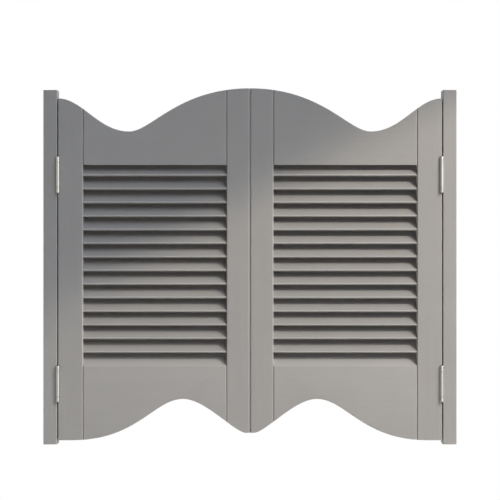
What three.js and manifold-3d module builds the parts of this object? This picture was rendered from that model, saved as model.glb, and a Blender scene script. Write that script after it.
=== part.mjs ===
// A pair of louvred cafe doors between two hanging posts, on double-action spring hinges.
// Millimetres. X runs across the doorway, -Y is the front, Z is up. The origin is on the doorway's
// centre line, in the middle of the doors' thickness, at the foot of the posts.
import * as THREE from "three";
import { mergeVertices } from "three/addons/utils/BufferGeometryUtils.js";
import Module from "manifold-3d";

const wasm = await Module();
wasm.setup();

// Doorway
const OVERALL_WIDTH = 1000;
const THICKNESS = 35; // of the posts and of the leaves
const HINGE_GAP = 2.6;
const CENTRE_GAP = 0.35; // between the crowns of the meeting edges
const FIT_GAP = 0.15; // clearance wherever two pieces meet
const ARRIS = 1.2; // chamfer along the outer edges of the posts and of the leaves
const JOINT_ARRIS = 2; // chamfer along the inner edges of the stiles, which meet the rails in V grooves

// Hanging posts
const POST_WIDTH = 33;
const POST_HEIGHT = 858;
const WALL_SCREWS = [50, 400, 810]; // heights up the post
const WALL_SCREW_HOLE = 2.5; // radius
const WALL_SCREW_HEAD = 5; // radius

const postFace = OVERALL_WIDTH / 2 - POST_WIDTH; // from the centre line to a post
const hingeEdge = postFace - HINGE_GAP; // from the centre line to the hinge edge of a leaf
const leafWidth = hingeEdge - CENTRE_GAP / 2;

// Leaf frame. Distances along a leaf start at its hinge edge.
const HINGE_STILE = 60;
const MEETING_STILE = 56.5;
const MEETING_CROWN = 0.9; // how far a meeting edge falls back towards its arrises, so that the leaves pass
const MEETING_ROUND = 2.5; // depth of the rounded arrises of a meeting edge
const CROWN_STEPS = 6;
const LOUVRE_TOP = 676.6; // front lower edge of the top rail
const LOUVRE_BOTTOM = 188.5; // front upper edge of the bottom rail
const EDGE_FLAT = 2; // level strip where a rail's slanted edge would be sharp
const TENON_LENGTH = 35;
const TENON_THICKNESS = 12;
const TOP_TENONS = { low: 712, highAtHinge: 785, highAtMeeting: 825 };
const BOTTOM_TENONS = { high: 190, lowAtHinge: 35, lowAtMeeting: 80 };

// Waves along the edges of a leaf: crests and troughs, each with the lengths of its level handles.
const TOP_WAVE = [
  { at: 0, height: 837.5, after: 59 },
  { at: 172.1, height: 757.5, before: 74.8, after: 53.7 },
  { at: leafWidth, height: 862, before: 174.3 },
];
const BOTTOM_WAVE = [
  { at: 34.8, height: 10.1, after: 157.6 },
  { at: 303.1, height: 110.1, before: 70.7, after: 52.8 },
  { at: 455.3, height: 27.9, before: 27.7 },
];
const WAVE_STEPS = 24; // straight steps along each half wave

// Louvre slats
const SLAT_COUNT = 14;
const SLAT_PITCH = 32.92;
const LOWEST_NOSE = 221.2; // underside of the lowest slat's front edge
const SLAT_THICKNESS = 6.5;
const SLAT_SETBACK = 2; // from the faces of the frame
const SLAT_RISE = 30; // from the centre of the front nose to the centre of the back nose
const SLAT_HOUSING = 8; // depth of its slot in a stile
const NOSE_STEPS = 6; // facets round a nose

// Double-action spring hinges
const HINGE_HEIGHTS = { upper: 652.6, lower: 146.8 };
const HINGE_LENGTH = 88;
const BARREL_RADIUS = 4.8;
const BARREL_WALL = 0.9;
const BARREL_PROUD = 1; // of its axis, beyond the face of the leaf
const BARREL_CLEARANCE = 0.5; // where the arrises of the wood are scooped out for the barrels
const END_KNUCKLE = 14; // length of the knuckles at both ends of a barrel
const KNUCKLE_GAP = 0.4;
const KNUCKLE_DOME = 1.3;
const BEARING_LENGTH = 3;
const BEARING_CLEARANCE = 0.1;
const PLATE_THICKNESS = 1.2; // and of the web between the barrels
const PLATE_WIDTH = 26.9;
const PLATE_INSET = 1; // shorter than the barrels at both ends
const PLATE_BACKING = 0.2; // between a plate, let in flush, and the wood behind it
const PLATE_SCREWS = [-30, 0, 30]; // along the hinge
const PLATE_HOLE = 1.9; // radius
const PLATE_SINK = 2.9; // radius of the countersink
const PILOT_RADIUS = 1.2;
const PILOT_DEPTH = 20;
const PIN_RADIUS = 1.5;
const PIN_CLEARANCE = 0.1; // in the end knuckles
const SPRING_WIRE = 0.55; // radius
const SPRING_RADIUS = 2.55; // from its axis to the middle of the wire
const SPRING_LENGTH = 46;
const SPRING_TURNS = 5;

// Facets
const BARREL_STEPS = 12;
const HOLE_STEPS = 8;
const CURL_STEPS = 8;
const WIRE_SIDES = 5;

// Sizes that follow from these
const meetingLine = leafWidth - MEETING_STILE; // joint between the rails and the meeting stile
const face = THICKNESS / 2;
const slatRadius = SLAT_THICKNESS / 2;
const slatReach = face - SLAT_SETBACK - slatRadius; // from mid thickness to the centre of either nose
const slatSlope = SLAT_RISE / (2 * slatReach);
const axisX = hingeEdge; // the barrels stand over the edge of the leaf
const axisY = face + BARREL_PROUD;
const postOffset = postFace - axisX; // of a barrel axis from the face of a post
const halfHinge = HINGE_LENGTH / 2;
const halfPlate = halfHinge - PLATE_INSET;
const tubeEnd = halfHinge - END_KNUCKLE - KNUCKLE_GAP / 2;

const BEYOND = 100; // how far the spaces that cut the leaf stand clear of it
const CLEAR = 1; // how far a drill stands clear of the face that it leaves
const WELD = 1e-4; // corners closer than this are one

const PAINT = { color: 0xa4a09a, roughness: 0.55, metalness: 0 };
const NICKEL = { color: 0xc9c9c6, roughness: 0.28, metalness: 1 };

// A closed geometry as a solid. Faces that collapse on the axis of a turned shape are dropped.
function solid(geometry) {
  const bare = geometry.clone();
  bare.deleteAttribute("normal");
  bare.deleteAttribute("uv");
  const merged = mergeVertices(bare, WELD);
  const corners = merged.index.array;
  const kept = [];
  for (let i = 0; i < corners.length; i += 3) {
    const [a, b, c] = corners.slice(i, i + 3);
    if (a !== b && b !== c && c !== a) kept.push(a, b, c);
  }
  return new wasm.Manifold(
    new wasm.Mesh({
      numProp: 3,
      vertProperties: new Float32Array(merged.attributes.position.array),
      triVerts: new Uint32Array(kept),
    }),
  );
}

// A named mesh of a solid, with a material of its own.
function piece(name, made, finish) {
  const { vertProperties, triVerts } = made.getMesh();
  const geometry = new THREE.BufferGeometry();
  geometry.setAttribute("position", new THREE.BufferAttribute(vertProperties, 3));
  geometry.setIndex(new THREE.BufferAttribute(triVerts, 1));
  geometry.computeVertexNormals();
  const mesh = new THREE.Mesh(geometry, new THREE.MeshStandardMaterial(finish));
  mesh.name = name;
  return mesh;
}

function box([x0, x1], [y0, y1], [z0, z1]) {
  const geometry = new THREE.BoxGeometry(x1 - x0, y1 - y0, z1 - z0);
  return solid(geometry.translate((x0 + x1) / 2, (y0 + y1) / 2, (z0 + z1) / 2));
}

function outline(points) {
  return new THREE.Shape(points.map(([a, b]) => new THREE.Vector2(a, b)));
}

// An outline in X and Z, through the whole thickness, with its edges chamfered at both faces.
function slab(shape) {
  const geometry = new THREE.ExtrudeGeometry(shape, {
    depth: THICKNESS - 2 * ARRIS,
    bevelThickness: ARRIS,
    bevelSize: ARRIS,
    bevelOffset: -ARRIS,
    bevelSegments: 1,
    curveSegments: WAVE_STEPS,
  });
  return solid(geometry.rotateX(Math.PI / 2).translate(0, face - ARRIS, 0));
}

// An outline in X and Y, carried up past both ends of a leaf.
function column(shape) {
  const geometry = new THREE.ExtrudeGeometry(shape, {
    depth: POST_HEIGHT + 2 * BEYOND,
    bevelEnabled: false,
    curveSegments: CROWN_STEPS,
  });
  return solid(geometry.translate(0, 0, -BEYOND));
}

// An outline in Y and Z, carried along X.
function bar(shape, start, end) {
  const geometry = new THREE.ExtrudeGeometry(shape, {
    depth: end - start,
    bevelEnabled: false,
    curveSegments: NOSE_STEPS / 2,
  });
  const alongX = new THREE.Matrix4().makeBasis(
    new THREE.Vector3(0, 1, 0),
    new THREE.Vector3(0, 0, 1),
    new THREE.Vector3(1, 0, 0),
  );
  return solid(geometry.applyMatrix4(alongX).translate(start, 0, 0));
}

// A turned geometry about Z, from pairs of radius and height.
function turned(profile, steps) {
  const points = profile.map(([radius, height]) => new THREE.Vector2(radius, height));
  return new THREE.LatheGeometry(points, steps).rotateX(Math.PI / 2);
}

function cylinder(radius, low, high) {
  const profile = [
    [0, low],
    [radius, low],
    [radius, high],
    [0, high],
  ];
  return turned(profile, BARREL_STEPS);
}

// The hole of a screw driven along -X into a face at x = mouth, with a countersink for its head.
function screwHole(mouth, depth, height, holeRadius, headRadius) {
  const sink = headRadius - holeRadius;
  const profile = [
    [0, -depth],
    [holeRadius, -depth],
    [holeRadius, -sink],
    [headRadius, 0],
    [headRadius, CLEAR],
    [0, CLEAR],
  ];
  return solid(turned(profile, HOLE_STEPS).rotateY(Math.PI / 2).translate(mouth, 0, height));
}

// Curves with level tangents through crests and troughs, in the order given.
function addWave(path, stops) {
  for (let i = 1; i < stops.length; i++) {
    const from = stops[i - 1];
    const to = stops[i];
    const onward = to.at > from.at;
    const leave = onward ? from.at + from.after : from.at - from.before;
    const arrive = onward ? to.at - to.before : to.at + to.after;
    path.bezierCurveTo(leave, from.height, arrive, to.height, to.at, to.height);
  }
}

// The whole leaf as one slab with its waves, from which the members of the frame are cut.
function leafBlank() {
  const shape = new THREE.Shape();
  const foot = BOTTOM_WAVE[0];
  const toe = BOTTOM_WAVE.at(-1);
  shape.moveTo(0, foot.height);
  shape.lineTo(foot.at, foot.height);
  addWave(shape, BOTTOM_WAVE);
  shape.lineTo(leafWidth + BEYOND, toe.height);
  shape.lineTo(leafWidth + BEYOND, TOP_WAVE.at(-1).height);
  shape.lineTo(leafWidth, TOP_WAVE.at(-1).height);
  addWave(shape, [...TOP_WAVE].reverse());
  return slab(shape);
}

// The space of a member that runs from start to end along a leaf, with the arrises of its ends chamfered.
function memberSpace(start, end) {
  const flank = face - JOINT_ARRIS;
  return column(
    outline([
      [start, -flank],
      [start + JOINT_ARRIS, -face],
      [end - JOINT_ARRIS, -face],
      [end, -flank],
      [end, flank],
      [end - JOINT_ARRIS, face],
      [start + JOINT_ARRIS, face],
      [start, flank],
    ]),
  );
}

// The space of the meeting stile, whose meeting edge is crowned and has rounded arrises.
function meetingStileSpace() {
  const flank = face - MEETING_ROUND;
  const edge = leafWidth - MEETING_CROWN;
  const corner = edge - (2 * MEETING_CROWN * MEETING_ROUND) / flank;
  const shape = new THREE.Shape();
  shape.moveTo(meetingLine, JOINT_ARRIS - face);
  shape.lineTo(meetingLine + JOINT_ARRIS, -face);
  shape.lineTo(corner - MEETING_ROUND, -face);
  shape.quadraticCurveTo(corner, -face, edge, -flank);
  shape.quadraticCurveTo(leafWidth + MEETING_CROWN, 0, edge, flank);
  shape.quadraticCurveTo(corner, face, corner - MEETING_ROUND, face);
  shape.lineTo(meetingLine + JOINT_ARRIS, face);
  shape.lineTo(meetingLine, face - JOINT_ARRIS);
  return column(shape);
}

// The slanted plane that a rail shares with the slats: its height at y, from its height at the front.
function slant(frontHeight, y) {
  return frontHeight + slatSlope * (y + face);
}

function topRailSpace() {
  const sharp = LOUVRE_TOP - slatSlope * EDGE_FLAT;
  return outline([
    [-face, LOUVRE_TOP],
    [-face + EDGE_FLAT, LOUVRE_TOP],
    [face, slant(sharp, face)],
    [face, POST_HEIGHT + BEYOND],
    [-face, POST_HEIGHT + BEYOND],
  ]);
}

function bottomRailSpace() {
  const level = slant(LOUVRE_BOTTOM, face - EDGE_FLAT);
  return outline([
    [-face, -BEYOND],
    [face, -BEYOND],
    [face, level],
    [face - EDGE_FLAT, level],
    [-face, LOUVRE_BOTTOM],
  ]);
}

// Tenons of one rail, grown by spare on every side when they are to cut the mortises.
function tenons(atHinge, atMeeting, spare) {
  const reach = TENON_LENGTH + spare;
  const thick = TENON_THICKNESS / 2 + spare;
  const heights = ([low, high]) => [low - spare, high + spare];
  const root = TENON_LENGTH; // overlap with the body of the rail
  return [
    box([HINGE_STILE - reach, HINGE_STILE + root], [-thick, thick], heights(atHinge)),
    box([meetingLine - root, meetingLine + reach], [-thick, thick], heights(atMeeting)),
  ];
}

function topTenons(spare) {
  const { low, highAtHinge, highAtMeeting } = TOP_TENONS;
  return tenons([low, highAtHinge], [low, highAtMeeting], spare);
}

function bottomTenons(spare) {
  const { high, lowAtHinge, lowAtMeeting } = BOTTOM_TENONS;
  return tenons([lowAtHinge, high], [lowAtMeeting, high], spare);
}

function rail(blank, space, joints) {
  const start = HINGE_STILE + FIT_GAP;
  const end = meetingLine - FIT_GAP;
  const body = blank.intersect(bar(space, start, end)).intersect(memberSpace(start, end));
  return joints.reduce((made, tenon) => made.add(tenon), body);
}

// One slat, or its slot where spare is added all round. Slats are counted from the top.
function slat(index, spare) {
  const radius = slatRadius + spare;
  const nose = LOWEST_NOSE + slatRadius + (SLAT_COUNT - 1 - index) * SLAT_PITCH;
  const tilt = Math.atan(slatSlope);
  const quarter = Math.PI / 2;
  const shape = new THREE.Shape();
  shape.absarc(-slatReach, nose, radius, tilt + quarter, tilt + 3 * quarter);
  shape.absarc(slatReach, nose + SLAT_RISE, radius, tilt - quarter, tilt + quarter);
  const inset = SLAT_HOUSING - FIT_GAP + spare;
  return bar(shape, HINGE_STILE - inset, meetingLine + inset);
}

function cutAll(made, cutters) {
  return cutters.reduce((rest, cutter) => rest.subtract(cutter), made);
}

// What the hinges need in a face at x = 0 of wood that lies at x > 0: scoops for the barrels, whose axes
// are offset from the face, recesses for the plates, and pilot holes for their screws. The arms of the
// plates reach the pins at the back where side is 1, and at the front where it is -1.
function hingeCuts(side, offset) {
  const scoopRadius = BARREL_RADIUS + BARREL_CLEARANCE;
  const scoopEnd = halfHinge + BARREL_CLEARANCE;
  const scoop = cylinder(scoopRadius, -scoopEnd, scoopEnd).translate(-offset, 0, 0);
  const sunk = [-CLEAR, PLATE_THICKNESS + PLATE_BACKING];
  const half = PLATE_WIDTH / 2 + FIT_GAP;
  const end = halfPlate + FIT_GAP;
  const arm = side > 0 ? [0, face + CLEAR] : [-face - CLEAR, 0];
  const cuts = [
    solid(scoop.clone().translate(0, -axisY, 0)),
    solid(scoop.clone().translate(0, axisY, 0)),
    box(sunk, [-half, half], [-end, end]),
    box(sunk, arm, [tubeEnd, end]),
    box(sunk, arm, [-end, -tubeEnd]),
    ...PLATE_SCREWS.map((z) => screwHole(0, PILOT_DEPTH, z, PILOT_RADIUS, PILOT_RADIUS).rotate([0, 0, 180])),
  ];
  return Object.values(HINGE_HEIGHTS).flatMap((height) => cuts.map((cut) => cut.translate([0, 0, height])));
}

// Every piece of one leaf, in place for the left one, with the hinge edge at x = 0. Its hinge pins are at
// the back where side is 1, and at the front where it is -1.
function leafSolids(side) {
  const blank = leafBlank();
  const slots = Array.from({ length: SLAT_COUNT }, (_, index) => slat(index, FIT_GAP));
  const mortises = [...topTenons(FIT_GAP), ...bottomTenons(FIT_GAP)];
  const hingeStile = blank.intersect(memberSpace(-BEYOND, HINGE_STILE));
  const meetingStile = blank.intersect(meetingStileSpace());
  const made = {
    hinge_stile: cutAll(hingeStile, [...slots, ...mortises, ...hingeCuts(side, 0)]),
    meeting_stile: cutAll(meetingStile, [...slots, ...mortises]),
    top_rail: rail(blank, topRailSpace(), topTenons(0)),
    bottom_rail: rail(blank, bottomRailSpace(), bottomTenons(0)),
  };
  slots.forEach((_, index) => {
    made[`slat_${String(index + 1).padStart(2, "0")}`] = slat(index, 0);
  });
  return made;
}

// The left post: its inner face takes the jamb plates and the screws of the wall. Its hinge pins are at the
// front where side is 1, and at the back where it is -1.
function postSolid(side) {
  const post = slab(
    outline([
      [-OVERALL_WIDTH / 2, 0],
      [-postFace, 0],
      [-postFace, POST_HEIGHT],
      [-OVERALL_WIDTH / 2, POST_HEIGHT],
    ]),
  );
  const through = POST_WIDTH + CLEAR;
  return cutAll(post, [
    ...WALL_SCREWS.map((z) => screwHole(-postFace, through, z, WALL_SCREW_HOLE, WALL_SCREW_HEAD)),
    ...hingeCuts(side, postOffset).map((cut) => cut.rotate([0, 0, 180]).translate([-postFace, 0, 0])),
  ]);
}

// A hinge plate whose back is at x = back, with both end knuckles round the pin at y. Its screws are
// driven towards the back: side is 1 where that is -X, and -1 where it is +X.
function plate(back, side, y) {
  const front = back + side * PLATE_THICKNESS;
  const span = [Math.min(back, front), Math.max(back, front)];
  const half = PLATE_WIDTH / 2;
  const arm = y < 0 ? [y, 0] : [0, y];
  const knuckleFoot = tubeEnd + KNUCKLE_GAP;
  const domed = [
    [0, knuckleFoot],
    [BARREL_RADIUS, knuckleFoot],
    [BARREL_RADIUS, halfHinge - KNUCKLE_DOME],
    [BARREL_RADIUS - KNUCKLE_DOME, halfHinge],
    [0, halfHinge],
  ];
  let made = box(span, [-half, half], [-halfPlate, halfPlate]);
  for (const turn of [0, Math.PI]) {
    const knuckle = turned(domed, BARREL_STEPS).rotateX(turn).translate(-axisX, y, 0);
    const height = turn === 0 ? [knuckleFoot, halfPlate] : [-halfPlate, -knuckleFoot];
    made = made.add(box(span, arm, height)).add(solid(knuckle));
  }
  const bore = cylinder(PIN_RADIUS + PIN_CLEARANCE, -HINGE_LENGTH, HINGE_LENGTH).translate(-axisX, y, 0);
  const holes = PLATE_SCREWS.map((height) =>
    screwHole(0, PLATE_THICKNESS + CLEAR, 0, PLATE_HOLE, PLATE_SINK)
      .rotate([0, 0, side > 0 ? 0 : 180])
      .translate([front, 0, height]),
  );
  return cutAll(made, [solid(bore), ...holes]);
}

// The centre flange: a web in the middle of the gap with a long barrel along both of its edges. Each
// barrel is hollow for its spring and runs on the pin at both ends.
function centreFlange() {
  const hollow = BARREL_RADIUS - BARREL_WALL;
  const bearing = PIN_RADIUS + BEARING_CLEARANCE;
  const inner = tubeEnd - BEARING_LENGTH;
  const profile = [
    [bearing, -tubeEnd],
    [BARREL_RADIUS, -tubeEnd],
    [BARREL_RADIUS, tubeEnd],
    [bearing, tubeEnd],
    [bearing, inner],
    [hollow, inner],
    [hollow, -inner],
    [bearing, -inner],
    [bearing, -tubeEnd],
  ];
  const middle = -(postFace + hingeEdge) / 2;
  const half = PLATE_THICKNESS / 2;
  const webEnd = axisY - hollow;
  let made = box([middle - half, middle + half], [-webEnd, webEnd], [-tubeEnd, tubeEnd]);
  for (const y of [-axisY, axisY]) {
    made = made.add(solid(turned(profile, BARREL_STEPS).translate(-axisX, y, 0)));
  }
  return made;
}

// The wire of a torsion spring: it leaves the pin and then curls upwards round it.
class SpringPath extends THREE.Curve {
  getPoint(t, target = new THREE.Vector3()) {
    const angle = t * SPRING_TURNS * 2 * Math.PI;
    const radius = SPRING_RADIUS * Math.min(1, t * SPRING_TURNS * CURL_STEPS);
    return target.set(radius * Math.cos(angle), radius * Math.sin(angle), (t - 0.5) * SPRING_LENGTH);
  }
}

// A hinge pin with the torsion spring that is hooked to it.
function springPin(y) {
  const corners = Array.from({ length: WIRE_SIDES }, (_, i) => (2 * Math.PI * i) / WIRE_SIDES);
  const section = outline(corners.map((a) => [SPRING_WIRE * Math.cos(a), SPRING_WIRE * Math.sin(a)]));
  const spring = new THREE.ExtrudeGeometry(section, {
    steps: SPRING_TURNS * CURL_STEPS,
    extrudePath: new SpringPath(),
  });
  const end = halfHinge - PIN_CLEARANCE;
  const pin = cylinder(PIN_RADIUS, -end, end);
  return solid(pin).add(solid(spring)).translate([-axisX, y, 0]);
}

// One hinge in place for the left leaf: its jamb plate turns on the front pin, its door plate on the back.
function hingeSolids() {
  return {
    jamb_plate: plate(-postFace - PLATE_THICKNESS, 1, -axisY),
    centre_flange: centreFlange(),
    door_plate: plate(-hingeEdge + PLATE_THICKNESS, -1, axisY),
    jamb_spring_pin: springPin(-axisY),
    door_spring_pin: springPin(axisY),
  };
}

const doors = new THREE.Group();

// Posts and leaves: the right side mirrors the left, apart from the side of its hinge pins.
for (const [side, mirror] of [
  ["left", 1],
  ["right", -1],
]) {
  const woodwork = new THREE.Group();
  woodwork.scale.x = mirror;
  woodwork.add(piece(`${side}_post`, postSolid(mirror), PAINT));
  for (const [name, made] of Object.entries(leafSolids(mirror))) {
    const mesh = piece(`${side}_${name}`, made, PAINT);
    mesh.position.x = -hingeEdge;
    woodwork.add(mesh);
  }
  doors.add(woodwork);
}

// Hinges: the right ones are the same hinge turned half round, so their jamb plates turn on the back pin.
for (const [side, turn] of [
  ["left", 0],
  ["right", Math.PI],
]) {
  for (const [level, height] of Object.entries(HINGE_HEIGHTS)) {
    const hinge = new THREE.Group();
    hinge.rotation.z = turn;
    hinge.position.z = height;
    for (const [name, made] of Object.entries(hingeSolids())) {
      hinge.add(piece(`${side}_${level}_${name}`, made, NICKEL));
    }
    doors.add(hinge);
  }
}

export default doors;
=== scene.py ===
"""A pair of louvred cafe doors between two posts, on double-action spring hinges. Metres, +Z up."""
import math

import bmesh
import bpy
from mathutils import Matrix, Vector


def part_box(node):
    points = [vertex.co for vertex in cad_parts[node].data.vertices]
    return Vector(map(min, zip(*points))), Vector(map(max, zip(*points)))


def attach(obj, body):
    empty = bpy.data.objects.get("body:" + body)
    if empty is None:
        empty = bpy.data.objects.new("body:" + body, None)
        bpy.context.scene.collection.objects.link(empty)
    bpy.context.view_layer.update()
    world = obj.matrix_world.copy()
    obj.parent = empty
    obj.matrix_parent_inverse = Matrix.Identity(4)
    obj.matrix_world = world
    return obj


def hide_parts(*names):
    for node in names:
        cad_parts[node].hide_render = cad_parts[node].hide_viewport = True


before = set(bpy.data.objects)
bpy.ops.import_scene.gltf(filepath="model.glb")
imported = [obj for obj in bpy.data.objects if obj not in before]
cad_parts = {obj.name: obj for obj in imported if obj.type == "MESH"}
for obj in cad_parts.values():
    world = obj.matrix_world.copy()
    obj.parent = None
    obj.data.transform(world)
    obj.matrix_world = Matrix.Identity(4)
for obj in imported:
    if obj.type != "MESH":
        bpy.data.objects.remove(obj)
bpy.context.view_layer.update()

MM = 0.001
SAME_PLACE = 0.002 * MM  # points nearer than this are one
SIDES = ("left", "right")
LEVELS = ("upper", "lower")
HALF_TURN = Matrix.Rotation(math.pi, 4, "Z")

# Woodwork
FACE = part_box("left_post")[1].y  # from mid thickness to the front or back of the doors
ARRIS_ROUND = 0.35 * MM  # rounding of both edges of every chamfer
ARRIS_ANGLES = (math.radians(40), math.radians(50))  # range of the turn at either edge of a chamfer
NEARLY_FLAT = math.radians(0.4)  # faces that turn less than this are one
WOOD_CREASE = 30  # degrees from which an edge of the frame stays sharp
SLAT_THICKNESS = 6.5 * MM
NOSE_STEPS = 14
SLAT_COUNT = 14

# Hinges, in place for the left leaf with z = 0 at the middle of the hinge
BARREL_RADIUS = 4.8 * MM
BARREL_WALL = 0.9 * MM
BARREL_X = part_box("left_upper_centre_flange")[0].x + BARREL_RADIUS
BARREL_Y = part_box("left_upper_centre_flange")[1].y - BARREL_RADIUS
HINGE_HALF = 44 * MM
KNUCKLE_START = 30 * MM
KNUCKLE_GAP = 0.4 * MM
KNUCKLE_FOOT = KNUCKLE_START + KNUCKLE_GAP / 2
KNUCKLE_DOME = 1.3 * MM
DOME_STEPS = 8
TUBE_EASE = 0.25 * MM
BEARING_RADIUS = 1.6 * MM
BEARING_LENGTH = 3 * MM
BORE_REACH = 50 * MM  # past both ends of a hinge
COLLAR_GROOVE = 0.3 * MM
GROOVE_PLACE = 5 * MM  # above the foot of a knuckle
COLLAR_HOLE = 1 * MM  # radius of the holes that take the tightening bar
COLLAR_HOLE_PLACE = 5 * MM  # below the top of a knuckle
COLLAR_HOLE_REACH = 10 * MM  # past both sides of a knuckle
PLATE_THICKNESS = 1.2 * MM
PLATE_HALF_WIDTH = 13.45 * MM
PLATE_HALF_LENGTH = 43 * MM
PLATE_CORNER = 2.5 * MM
CORNER_STEPS = 6
PLATE_EASE = 0.15 * MM
ARM_OVERLAP = 3 * MM  # of a knuckle's arm with its plate
WEB_END = BARREL_Y - BARREL_RADIUS + BARREL_WALL
POST_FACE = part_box("left_post")[1].x
LEAF_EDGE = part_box("left_hinge_stile")[0].x
ROUND_STEPS = 48
HALF_STEP = Matrix.Rotation(math.pi / ROUND_STEPS, 4, "Z")  # keeps the edges of two round shapes apart
WITHIN = 0.03 * MM  # how far a joining block stays inside the faces that it joins

# Screws
SINK_RADIUS = 2.9 * MM
SINK_HOLE = 1.9 * MM
SINK_DEPTH = 4 * MM  # past the back of a plate
SINK_PAST = 1 * MM  # past the front of a plate
PLATE_SCREWS = (-30 * MM, 0, 30 * MM)  # along the hinge
PLATE_SCREW = {"head": 2.75 * MM, "shank": 1.1 * MM, "length": 17 * MM, "slot": 0.55 * MM}
WALL_SCREWS = (50 * MM, 400 * MM, 810 * MM)  # up the post
WALL_SCREW = {"head": 4.8 * MM, "shank": 2.3 * MM, "length": 29 * MM, "slot": 0.9 * MM}
CROWN = 0.12  # rise of a screw's head, as a share of the head's radius
RECESS_REACH = 0.62  # the same share, for the arms of the cross recess
RECESS_DEPTH = 0.45
POINT_LENGTH = 2.2  # as a share of the shank's radius


def linear(hex_colour):
    """An sRGB hex colour as linear red, green, blue and alpha."""
    parts = [int(hex_colour[i:i + 2], 16) / 255 for i in (1, 3, 5)]
    return [p / 12.92 if p <= 0.04045 else ((p + 0.055) / 1.055) ** 2.4 for p in parts] + [1.0]


def add(tree, kind, inputs=None, **settings):
    """Adds a node, applies its settings, and fills its inputs with values or links."""
    node = tree.nodes.new(kind)
    for name, value in settings.items():
        setattr(node, name, value)
    for key, value in (inputs or {}).items():
        if isinstance(value, bpy.types.NodeSocket):
            tree.links.new(value, node.inputs[key])
        else:
            node.inputs[key].default_value = value
    return node


def new_material(name):
    """A material with an empty node tree."""
    material = bpy.data.materials.new(name)
    material.use_nodes = True
    material.node_tree.nodes.clear()
    return material, material.node_tree


def satin_painted_pine(name, grain, thin="#A6A19B", full="#ADA8A2", highlight_noses=False):
    """Planed pine under two brushed coats of satin paint: an even warm grey with a soft gloss, faint brush
    marks along each piece, and a paler line along the arrises and the noses: a painted highlight where
    light catches them, and partly wear where hands and cleaning rub them."""
    material, tree = new_material(name)
    place = add(tree, "ShaderNodeTexCoord").outputs["Object"]
    # brush marks about 4 mm wide and 160 mm long, wider than real ones so that they show
    stretch = add(tree, "ShaderNodeMapping", {"Vector": place, "Scale": grain})
    marks = add(tree, "ShaderNodeTexNoise", {"Vector": stretch.outputs[0], "Scale": 1.0, "Detail": 3.0})
    # patches of about 90 mm where the coat is a little thinner
    patches = add(tree, "ShaderNodeTexNoise", {"Vector": place, "Scale": 1 / (90 * MM), "Detail": 4.0})
    # the orange-peel of the coat, drawn at 2.4 mm to show
    peel = add(tree, "ShaderNodeTexNoise", {"Vector": place, "Scale": 1 / (2.4 * MM), "Detail": 2.0})

    tone = add(tree, "ShaderNodeMix", {
        "Factor": patches.outputs["Fac"], 6: linear(thin), 7: linear(full)}, data_type="RGBA")
    brushed = add(tree, "ShaderNodeMix", {
        "Factor": marks.outputs["Fac"], 6: linear("#F6F6F5"), 7: linear("#FFFFFF")}, data_type="RGBA")
    coat = add(tree, "ShaderNodeMix", {
        "Factor": 1.0, 6: tone.outputs[2], 7: brushed.outputs[2]}, data_type="RGBA", blend_type="MULTIPLY")

    # an arris shows where the normal rounded over 1.6 mm leaves the surface's own; it gets a painted
    # highlight, partly rubbed wear
    rounded = add(tree, "ShaderNodeBevel", {"Radius": 1.6 * MM}, samples=6)
    own = add(tree, "ShaderNodeNewGeometry")
    agree = add(tree, "ShaderNodeVectorMath", {
        0: rounded.outputs[0], 1: own.outputs["Normal"]}, operation="DOT_PRODUCT")
    arris = add(tree, "ShaderNodeMapRange", {
        "Value": agree.outputs["Value"], "From Min": 0.98, "From Max": 0.8, "To Min": 0.0, "To Max": 0.75})
    highlight_and_wear = arris.outputs[0]
    if highlight_noses:
        # only the noses of a slat face straight to the front or the back; they get a painted highlight,
        # partly rubbed wear
        normal = add(tree, "ShaderNodeTexCoord").outputs["Normal"]
        turned_to = add(tree, "ShaderNodeSeparateXYZ", {0: normal})
        facing = add(tree, "ShaderNodeMath", {0: turned_to.outputs["Y"]}, operation="ABSOLUTE")
        nose = add(tree, "ShaderNodeMapRange", {
            "Value": facing.outputs[0], "From Min": 0.84, "From Max": 0.97, "To Min": 0.0, "To Max": 0.55})
        highlight_and_wear = add(tree, "ShaderNodeMath", {0: highlight_and_wear, 1: nose.outputs[0]}, operation="MAXIMUM").outputs[0]
    # paler paint on the arrises and noses: a painted highlight where light catches them, and partly rubbed
    # wear
    colour = add(tree, "ShaderNodeMix", {
        "Factor": highlight_and_wear, 6: coat.outputs[2], 7: linear("#CFCAC3")}, data_type="RGBA")

    gloss = add(tree, "ShaderNodeMapRange", {
        "Value": peel.outputs["Fac"], "From Min": 0.3, "From Max": 0.7, "To Min": 0.44, "To Max": 0.56})
    height = add(tree, "ShaderNodeMath", {
        0: marks.outputs["Fac"], 1: 0.6, 2: peel.outputs["Fac"]}, operation="MULTIPLY_ADD")
    relief = add(tree, "ShaderNodeBump", {
        "Height": height.outputs[0], "Strength": 0.2, "Distance": 0.06 * MM})
    surface = add(tree, "ShaderNodeBsdfPrincipled", {
        "Base Color": colour.outputs[2], "Roughness": gloss.outputs[0], "IOR": 1.5,
        "Normal": relief.outputs[0]})
    add(tree, "ShaderNodeOutputMaterial", {"Surface": surface.outputs[0]})
    return material


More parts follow.
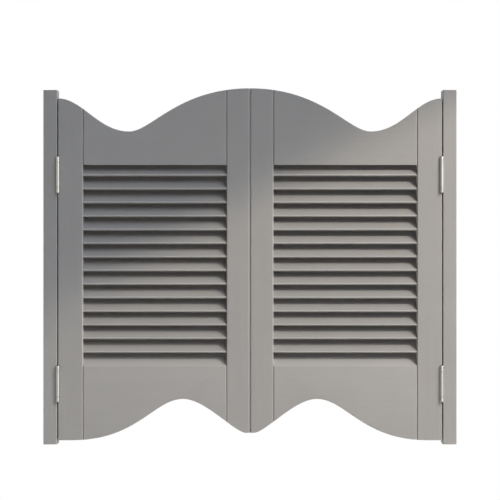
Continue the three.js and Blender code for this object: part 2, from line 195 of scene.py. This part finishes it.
def plated_metal(name, bright, dull, roughness, streak, length):
    """Metal with a satin finish: soft streaks along its length, and patches dulled by handling."""
    material, tree = new_material(name)
    place = add(tree, "ShaderNodeTexCoord").outputs["Object"]
    stretch = add(tree, "ShaderNodeMapping", {
        "Vector": place, "Scale": (1 / streak, 1 / streak, 1 / length)})
    streaks = add(tree, "ShaderNodeTexNoise", {"Vector": stretch.outputs[0], "Scale": 1.0, "Detail": 3.0})
    # handling marks of about 6 mm
    marks = add(tree, "ShaderNodeTexNoise", {"Vector": place, "Scale": 1 / (6 * MM), "Detail": 3.0})
    colour = add(tree, "ShaderNodeMix", {
        "Factor": marks.outputs["Fac"], 6: linear(bright), 7: linear(dull)}, data_type="RGBA")
    gloss = add(tree, "ShaderNodeMapRange", {
        "Value": streaks.outputs["Fac"], "From Min": 0.3, "From Max": 0.7,
        "To Min": roughness - 0.06, "To Max": roughness + 0.06})
    relief = add(tree, "ShaderNodeBump", {
        "Height": streaks.outputs["Fac"], "Strength": 0.25, "Distance": 0.02 * MM})
    surface = add(tree, "ShaderNodeBsdfPrincipled", {
        "Base Color": colour.outputs[2], "Metallic": 1.0, "Roughness": gloss.outputs[0],
        "Normal": relief.outputs[0]})
    add(tree, "ShaderNodeOutputMaterial", {"Surface": surface.outputs[0]})
    return material


ALONG, ACROSS = 1 / (160 * MM), 1 / (4 * MM)
PAINT_UPRIGHT = satin_painted_pine("satin_painted_pine_upright", (ACROSS, ACROSS, ALONG))
PAINT_LEVEL = satin_painted_pine("satin_painted_pine_level", (ALONG, ACROSS, ACROSS))
# the slats are painted a little darker than the frame: painted shade, for the shade that falls between
# them
PAINT_SLAT = satin_painted_pine(
    "satin_painted_pine_slat", (ALONG, ACROSS, ACROSS), "#98938D", "#9F9A94", highlight_noses=True)
# brushed nickel plate: pale and slightly warm, with streaks of 0.6 mm that spread its highlights
NICKEL = plated_metal("brushed_nickel_plate", "#B4B2AD", "#A4A29D", 0.36, 0.6 * MM, 30 * MM)
# zinc plated screws: bluer and duller than the nickel, with tumbling marks
ZINC = plated_metal("zinc_plated_steel", "#BFC2C4", "#A3A6A8", 0.38, 0.8 * MM, 2 * MM)
# oiled spring wire: dark, drawn and smooth
SPRING = plated_metal("oiled_spring_steel", "#6E6C6A", "#4F4D4B", 0.32, 0.3 * MM, 8 * MM)


def finish_piece(name, mesh, material, body, nodes=(), matrix=None, crease=40):
    """Places a new piece: shaded smooth up to a crease angle, riding on a body, standing for its nodes."""
    if not mesh.materials:
        mesh.shade_smooth()
        mesh.set_sharp_from_angle(angle=math.radians(crease))
        mesh.materials.append(material)
    piece = bpy.data.objects.new(name, mesh)
    bpy.context.scene.collection.objects.link(piece)
    if matrix:
        piece.matrix_world = matrix
    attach(piece, body)
    if nodes:
        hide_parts(*nodes)
    # flat faces keep flat normals, so that only the rounded edges shade softly
    piece.modifiers.new("flat_faces", "WEIGHTED_NORMAL").keep_sharp = True
    return piece


def cleaned(shape):
    """Takes out points that coincide and faces without area."""
    bmesh.ops.remove_doubles(shape, verts=shape.verts, dist=SAME_PLACE)
    bmesh.ops.dissolve_degenerate(shape, edges=shape.edges, dist=SAME_PLACE)
    return shape


def mesh_of(name, shape):
    """The mesh of a bmesh, which is freed."""
    mesh = bpy.data.meshes.new(name)
    bmesh.ops.recalc_face_normals(shape, faces=shape.faces)
    shape.to_mesh(mesh)
    shape.free()
    return mesh


def softened_wood(node):
    """A copy of a wooden piece with its chamfers rounded into soft arrises."""
    shape = bmesh.new()
    shape.from_mesh(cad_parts[node].data)
    bmesh.ops.remove_doubles(shape, verts=shape.verts, dist=SAME_PLACE)
    bmesh.ops.dissolve_limit(shape, angle_limit=NEARLY_FLAT, verts=shape.verts, edges=shape.edges)
    low, high = ARRIS_ANGLES
    arrises = [e for e in shape.edges if e.is_manifold and low < e.calc_face_angle() < high]
    bmesh.ops.bevel(
        shape, geom=arrises, offset=ARRIS_ROUND, segments=2, profile=0.5, affect="EDGES",
        clamp_overlap=True)
    return mesh_of(f"{node}_wood", cleaned(shape))


def pulled_along_x(corners, length):
    """A flat face with these corners, pulled out along X."""
    shape = bmesh.new()
    face = shape.faces.new([shape.verts.new(corner) for corner in corners])
    run = bmesh.ops.extrude_face_region(shape, geom=[face])["geom"]
    moved = [v for v in run if isinstance(v, bmesh.types.BMVert)]
    bmesh.ops.translate(shape, verts=moved, vec=(length, 0, 0))
    return shape


def slat_mesh(node):
    """A slat with full round noses, between the ends and the edges of its node."""
    low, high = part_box(node)
    radius = SLAT_THICKNESS / 2
    front = Vector((0, low.y + radius, low.z + radius))
    back = Vector((0, high.y - radius, high.z - radius))
    tilt = math.atan2(back.z - front.z, back.y - front.y)
    section = []
    for centre, start in ((front, tilt + math.pi / 2), (back, tilt - math.pi / 2)):
        for step in range(NOSE_STEPS + 1):
            turn = start + math.pi * step / NOSE_STEPS
            point = centre + radius * Vector((0, math.cos(turn), math.sin(turn)))
            section.append((low.x, point.y, point.z))
    return mesh_of(f"{node}_slat", pulled_along_x(section, high.x - low.x))


def turned(profile, closed=False):
    """A shape turned about Z from pairs of radius and height."""
    shape = bmesh.new()
    points = [shape.verts.new((radius, 0, height)) for radius, height in profile]
    lines = [shape.edges.new(pair) for pair in zip(points, points[1:])]
    if closed:
        lines.append(shape.edges.new((points[-1], points[0])))
    bmesh.ops.spin(
        shape, geom=points + lines, axis=(0, 0, 1), cent=(0, 0, 0), steps=ROUND_STEPS, angle=2 * math.pi,
        use_merge=True)
    bmesh.ops.remove_doubles(shape, verts=shape.verts, dist=SAME_PLACE)
    return shape


def plate_blank(low_x, thickness):
    """A flat plate across X with rounded corners and eased edges."""
    corners = []
    reach_y = PLATE_HALF_WIDTH - PLATE_CORNER
    reach_z = PLATE_HALF_LENGTH - PLATE_CORNER
    for quarter, (y, z) in enumerate(((1, 1), (-1, 1), (-1, -1), (1, -1))):
        for step in range(CORNER_STEPS + 1):
            turn = (quarter + step / CORNER_STEPS) * math.pi / 2
            corners.append((
                low_x,
                y * reach_y + PLATE_CORNER * math.cos(turn),
                z * reach_z + PLATE_CORNER * math.sin(turn)))
    shape = pulled_along_x(corners, thickness)
    bmesh.ops.recalc_face_normals(shape, faces=shape.faces)
    rims = [e for e in shape.edges if abs(e.verts[0].co.x - e.verts[1].co.x) < thickness / 2]
    bmesh.ops.bevel(shape, geom=rims, offset=PLATE_EASE, segments=2, profile=0.5, affect="EDGES")
    return shape


def placed(shape, matrix):
    """The same shape, moved by a matrix."""
    bmesh.ops.transform(shape, verts=shape.verts, matrix=matrix)
    return shape


def block(low, high):
    """A square block between two opposite corners."""
    shape = bmesh.new()
    bmesh.ops.create_cube(shape, size=1)
    size = Vector(high) - Vector(low)
    middle = (Vector(high) + Vector(low)) / 2
    return placed(shape, Matrix.Translation(middle) @ Matrix.Diagonal((*size, 1)))


def drill(radius, reach):
    """A round bar along Z, to cut a hole with."""
    return turned([(0, -reach), (radius, -reach), (radius, reach), (0, reach)])


def joined(name, base, steps):
    """The mesh of a base after boolean steps, each an operation and the shape it works with."""
    def holder(shape):
        piece = bpy.data.objects.new(name, mesh_of(name, shape))
        bpy.context.scene.collection.objects.link(piece)
        return piece

    body = holder(base)
    tools = []
    for operation, shape in steps:
        tool = holder(shape)
        tools.append(tool)
        change = body.modifiers.new(operation.lower(), "BOOLEAN")
        change.operation, change.object, change.solver = operation, tool, "EXACT"
    made = bmesh.new()
    made.from_object(body, bpy.context.evaluated_depsgraph_get())
    for piece in [body, *tools]:
        old = piece.data
        bpy.data.objects.remove(piece)
        bpy.data.meshes.remove(old)
    return mesh_of(name, cleaned(made))


def knuckle():
    """The upper end knuckle of a barrel: a collar with a groove round it and a domed top."""
    dome = [
        (BARREL_RADIUS - KNUCKLE_DOME * (1 - math.cos(a)), HINGE_HALF - KNUCKLE_DOME * (1 - math.sin(a)))
        for a in (math.pi / 2 * step / DOME_STEPS for step in range(DOME_STEPS + 1))]
    groove = KNUCKLE_FOOT + GROOVE_PLACE
    return turned([
        (0, KNUCKLE_FOOT),
        (BARREL_RADIUS - TUBE_EASE, KNUCKLE_FOOT),
        (BARREL_RADIUS, KNUCKLE_FOOT + TUBE_EASE),
        (BARREL_RADIUS, groove - COLLAR_GROOVE),
        (BARREL_RADIUS - COLLAR_GROOVE, groove),
        (BARREL_RADIUS, groove + COLLAR_GROOVE),
        *dome,
        (0, HINGE_HALF)])


def hinge_plate(name, front, side, axis_y):
    """A screwed hinge plate with its two end knuckles. Its screws point to -X where side is 1."""
    back = front - side * PLATE_THICKNESS
    low_x, high_x = min(back, front), max(back, front)
    axis = Matrix.Translation((BARREL_X, axis_y, 0))
    arm = sorted((axis_y, math.copysign(PLATE_HALF_WIDTH - ARM_OVERLAP, axis_y)))
    steps = []
    for end in (1, -1):
        turn = Matrix.Rotation(0 if end > 0 else math.pi, 4, "X")
        span = sorted((end * (KNUCKLE_FOOT + WITHIN), end * (PLATE_HALF_LENGTH - WITHIN)))
        bridge = block((low_x + WITHIN, arm[0], span[0]), (high_x - WITHIN, arm[1], span[1]))
        steps.append(("UNION", bridge))
        steps.append(("UNION", placed(knuckle(), axis @ turn)))
    steps.append(("DIFFERENCE", placed(drill(BEARING_RADIUS, BORE_REACH), axis @ HALF_STEP)))
    # two holes for the bar that tightens the spring, in the collar of the upper knuckle
    collar = axis @ Matrix.Translation((0, 0, HINGE_HALF - COLLAR_HOLE_PLACE))
    across = collar @ Matrix.Rotation(math.pi / 2, 4, "Y") @ HALF_STEP
    steps.append(("DIFFERENCE", placed(drill(COLLAR_HOLE, COLLAR_HOLE_REACH), across)))
    for height in PLATE_SCREWS:
        countersink = turned([
            (0, -SINK_DEPTH),
            (SINK_HOLE, -SINK_DEPTH),
            (SINK_HOLE, SINK_HOLE - SINK_RADIUS),
            (SINK_RADIUS + SINK_PAST, SINK_PAST),
            (0, SINK_PAST)])
        aim = Matrix.Translation((front, 0, height)) @ Matrix.Rotation(side * math.pi / 2, 4, "Y")
        steps.append(("DIFFERENCE", placed(countersink, aim)))
    return joined(name, plate_blank(low_x, PLATE_THICKNESS), steps)


def centre_flange(name):
    """The web of a hinge with a long hollow barrel along both of its edges."""
    end = KNUCKLE_START - KNUCKLE_GAP / 2
    inner = end - BEARING_LENGTH
    hollow = BARREL_RADIUS - BARREL_WALL
    profile = [
        (BEARING_RADIUS, -end),
        (BARREL_RADIUS - TUBE_EASE, -end),
        (BARREL_RADIUS, TUBE_EASE - end),
        (BARREL_RADIUS, end - TUBE_EASE),
        (BARREL_RADIUS - TUBE_EASE, end),
        (BEARING_RADIUS, end),
        (BEARING_RADIUS, inner),
        (hollow, inner),
        (hollow, -inner),
        (BEARING_RADIUS, -inner)]
    middle = (POST_FACE + LEAF_EDGE) / 2
    half = PLATE_THICKNESS / 2
    web = block((middle - half, -WEB_END, WITHIN - end), (middle + half, WEB_END, end - WITHIN))
    barrels = [
        ("UNION", placed(turned(profile, closed=True), Matrix.Translation((BARREL_X, y, 0))))
        for y in (-BARREL_Y, BARREL_Y)]
    return joined(name, web, barrels)


def screw(name, head, shank, length, slot):
    """A countersunk wood screw along Z with its head at z = 0, and a cross recess in its head."""
    neck = shank - head
    crown = CROWN * head
    profile = [
        (0, -length),
        (shank, -length + POINT_LENGTH * shank),
        (shank, neck),
        (head, 0),
        (0.7 * head, 0.6 * crown),
        (0.35 * head, 0.9 * crown),
        (0, crown)]
    reach = RECESS_REACH * head
    floor = RECESS_DEPTH * head
    steps = []
    for turn, depth in ((0, floor), (math.pi / 2, floor + WITHIN)):
        bar = block((-reach, -slot / 2, -depth), (reach, slot / 2, head))
        steps.append(("DIFFERENCE", placed(bar, Matrix.Rotation(turn + math.pi / 4, 4, "Z"))))
    return joined(name, turned(profile), steps)


def add_woodwork():
    """The posts, and the frame and slats of both leaves."""
    for side in SIDES:
        leaf = f"{side}_leaf"
        for member, paint, body in (
                ("post", PAINT_UPRIGHT, "posts"),
                ("hinge_stile", PAINT_UPRIGHT, leaf),
                ("meeting_stile", PAINT_UPRIGHT, leaf),
                ("top_rail", PAINT_LEVEL, leaf),
                ("bottom_rail", PAINT_LEVEL, leaf)):
            node = f"{side}_{member}"
            wood = softened_wood(node)
            finish_piece(f"{node}_wood", wood, paint, body, [node], crease=WOOD_CREASE)
        for number in range(1, SLAT_COUNT + 1):
            node = f"{side}_slat_{number:02d}"
            finish_piece(f"{node}_wood", slat_mesh(node), PAINT_SLAT, leaf, [node])


def add_hinges():
    """Four hinges with their screws. The right ones are the left ones turned half round."""
    jamb = hinge_plate("jamb_plate", POST_FACE, 1, -BARREL_Y)
    door = hinge_plate("door_plate", LEAF_EDGE, -1, BARREL_Y)
    flange = centre_flange("centre_flange")
    fixing = screw("plate_screw", **PLATE_SCREW)
    for side in SIDES:
        turn = Matrix.Identity(4) if side == "left" else HALF_TURN
        for level in LEVELS:
            low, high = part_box(f"{side}_{level}_centre_flange")
            place = Matrix.Translation((0, 0, (low.z + high.z) / 2)) @ turn
            for kind, mesh, body in (
                    ("jamb_plate", jamb, "posts"),
                    ("centre_flange", flange, f"{side}_flanges"),
                    ("door_plate", door, f"{side}_leaf")):
                node = f"{side}_{level}_{kind}"
                finish_piece(f"{node}_plated", mesh, NICKEL, body, [node], place)
            for kind, body, front, tilt in (
                    ("jamb", "posts", POST_FACE, math.pi / 2),
                    ("door", f"{side}_leaf", LEAF_EDGE, -math.pi / 2)):
                for number, height in enumerate(PLATE_SCREWS, 1):
                    name = f"{side}_{level}_{kind}_screw_{number}"
                    aim = Matrix.Translation((front, 0, height)) @ Matrix.Rotation(tilt, 4, "Y")
                    finish_piece(name, fixing, ZINC, body, (), place @ aim)
                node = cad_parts[f"{side}_{level}_{kind}_spring_pin"]
                node.material_slots[0].material = SPRING


def add_wall_screws():
    """Three screws through each post into the wall, with their heads in its inner side."""
    fixing = screw("wall_screw", **WALL_SCREW)
    for side in SIDES:
        turn = Matrix.Identity(4) if side == "left" else HALF_TURN
        for number, height in enumerate(WALL_SCREWS, 1):
            aim = Matrix.Translation((POST_FACE, 0, height)) @ Matrix.Rotation(math.pi / 2, 4, "Y")
            name = f"{side}_wall_screw_{number}"
            finish_piece(name, fixing, ZINC, "posts", (), turn @ aim)


add_woodwork()
add_hinges()
add_wall_screws()


# Stage: a pale floor well below the doors, which hang clear of it, fading to the white background
FLOOR_LEVEL = -0.45
FLOOR_HALF = 4.0
FLOOR_FADE = (0.45, 0.85)  # distance from the middle at which the fade starts and ends
WHITE = (1.0, 1.0, 1.0, 1.0)
SOFT_LIGHT = Vector((0.66, -0.38, 0.65)).normalized()  # towards the middle of the soft light
SOFT_EDGE = 0.85  # cosine of the angle from there at which it starts
SOFT_STRENGTH = 6.0


def seen_directly(tree):
    """1 for rays from the camera and for those that metal or glass sends on to it."""
    path = add(tree, "ShaderNodeLightPath")
    metal = add(tree, "ShaderNodeMath", {
        0: path.outputs["Is Camera Ray"], 1: path.outputs["Is Glossy Ray"]}, operation="MAXIMUM")
    glass = add(tree, "ShaderNodeMath", {
        0: metal.outputs[0], 1: path.outputs["Is Transmission Ray"]}, operation="MAXIMUM")
    return glass.outputs[0]


def matt_white_floor():
    """Matt white card, which fades into the background away from the doors."""
    material, tree = new_material("matt_white_card")
    place = add(tree, "ShaderNodeTexCoord").outputs["Object"]
    away = add(tree, "ShaderNodeVectorMath", {0: place}, operation="LENGTH")
    edge = add(tree, "ShaderNodeMapRange", {
        "Value": away.outputs["Value"], "From Min": FLOOR_FADE[0], "From Max": FLOOR_FADE[1]},
        interpolation_type="SMOOTHSTEP")
    fade = add(tree, "ShaderNodeMath", {0: edge.outputs[0], 1: seen_directly(tree)}, operation="MULTIPLY")
    grain = add(tree, "ShaderNodeTexNoise", {"Vector": place, "Scale": 1 / (3 * MM)})
    tone = add(tree, "ShaderNodeMix", {
        "Factor": grain.outputs["Fac"], 6: linear("#F2F1EF"), 7: linear("#F6F5F3")}, data_type="RGBA")
    card = add(tree, "ShaderNodeBsdfDiffuse", {"Color": tone.outputs[2]})
    white = add(tree, "ShaderNodeEmission", {"Color": WHITE, "Strength": 1.0})
    mix = add(tree, "ShaderNodeMixShader", {
        0: fade.outputs[0], 1: card.outputs[0], 2: white.outputs[0]})
    add(tree, "ShaderNodeOutputMaterial", {"Surface": mix.outputs[0]})
    return material


def add_floor():
    """The floor, which shows the shadow of the doors."""
    shape = bmesh.new()
    bmesh.ops.create_grid(shape, x_segments=1, y_segments=1, size=FLOOR_HALF)
    mesh = mesh_of("floor", shape)
    mesh.materials.append(matt_white_floor())
    floor = bpy.data.objects.new("floor", mesh)
    floor.location.z = FLOOR_LEVEL
    bpy.context.scene.collection.objects.link(floor)


def light_world():
    """White where it is seen, and a soft light from the upper right, a little to the front."""
    world = bpy.data.worlds.new("studio")
    bpy.context.scene.world = world
    world.use_nodes = True
    tree = world.node_tree
    tree.nodes.clear()
    way = add(tree, "ShaderNodeTexCoord").outputs["Generated"]
    towards = add(tree, "ShaderNodeVectorMath", {0: way, 1: SOFT_LIGHT}, operation="DOT_PRODUCT")
    growing = add(tree, "ShaderNodeMapRange", {
        "Value": towards.outputs["Value"], "From Min": SOFT_EDGE, "From Max": 1.0,
        "To Min": 0.0, "To Max": SOFT_STRENGTH})
    soft = add(tree, "ShaderNodeBackground", {
        "Color": linear("#E2EDFF"), "Strength": growing.outputs[0]})
    white = add(tree, "ShaderNodeBackground", {"Color": WHITE, "Strength": 1.0})
    mix = add(tree, "ShaderNodeMixShader", {
        0: seen_directly(tree), 1: soft.outputs[0], 2: white.outputs[0]})
    add(tree, "ShaderNodeOutputWorld", {"Surface": mix.outputs[0]})


def add_lamp(name, kind, place, aim, power, colour, gloss_only=False, **settings):
    """A lamp at a place, turned to a point. One for gloss only leaves matt surfaces unlit."""
    lamp = bpy.data.lights.new(name, kind)
    lamp.energy = power
    lamp.color = linear(colour)[:3]
    for key, value in settings.items():
        setattr(lamp, key, value)
    holder = bpy.data.objects.new(name, lamp)
    holder.location = place
    holder.rotation_euler = (Vector(aim) - Vector(place)).to_track_quat("-Z", "Y").to_euler()
    holder.visible_camera = False
    holder.visible_diffuse = not gloss_only
    bpy.context.scene.collection.objects.link(holder)


def add_lamps():
    """The key, a light for the back, and a strip for the metal."""
    # a warm key from the right, 60 degrees off the doors' normal and 33 degrees up, whose soft edge
    # crosses the doors and leaves their upper left in the soft light alone
    add_lamp("key", "SPOT", (2.54, -1.47, 2.33), (0.19, 0, -1.5), 320, "#FFF6E6",
             spot_size=math.radians(49), spot_blend=0.14, shadow_soft_size=0.06)
    # a light for the far side, along the slope of the slats so that little of it comes through them
    add_lamp("rear", "SPOT", (-0.8, 2.2, 2.8), (0, 0, 0.43), 210, "#F6F6FF",
             spot_size=math.radians(34), spot_blend=0.6, shadow_soft_size=0.3)
    # a tall strip that only gloss shows, for the bright line down each hinge barrel
    add_lamp("strip", "AREA", (3.0, -4.6, 0.43), (0, 0, 0.43), 105, "#FFFFFF", gloss_only=True,
             shape="RECTANGLE", size=0.5, size_y=3.6)


PHOTO_WIDTH = 1.2095  # of the picture, measured at the front of the doors
CAMERA_DISTANCE = 2.95
CAMERA_HEIGHT = 0.4705
SENSOR_WIDTH = 36  # millimetres, as the lens


def add_camera():
    """A camera straight in front of the doors, which sees PHOTO_WIDTH of them."""
    lens = bpy.data.cameras.new("camera")
    lens.sensor_width = SENSOR_WIDTH
    lens.lens = SENSOR_WIDTH * CAMERA_DISTANCE / PHOTO_WIDTH
    camera = bpy.data.objects.new("camera", lens)
    camera.location = (0, -FACE - CAMERA_DISTANCE, CAMERA_HEIGHT)
    camera.rotation_euler = (math.pi / 2, 0, 0)
    bpy.context.scene.collection.objects.link(camera)
    bpy.context.scene.camera = camera


add_floor()
light_world()
add_lamps()
add_camera()
bpy.context.scene.view_settings.view_transform = "Standard"
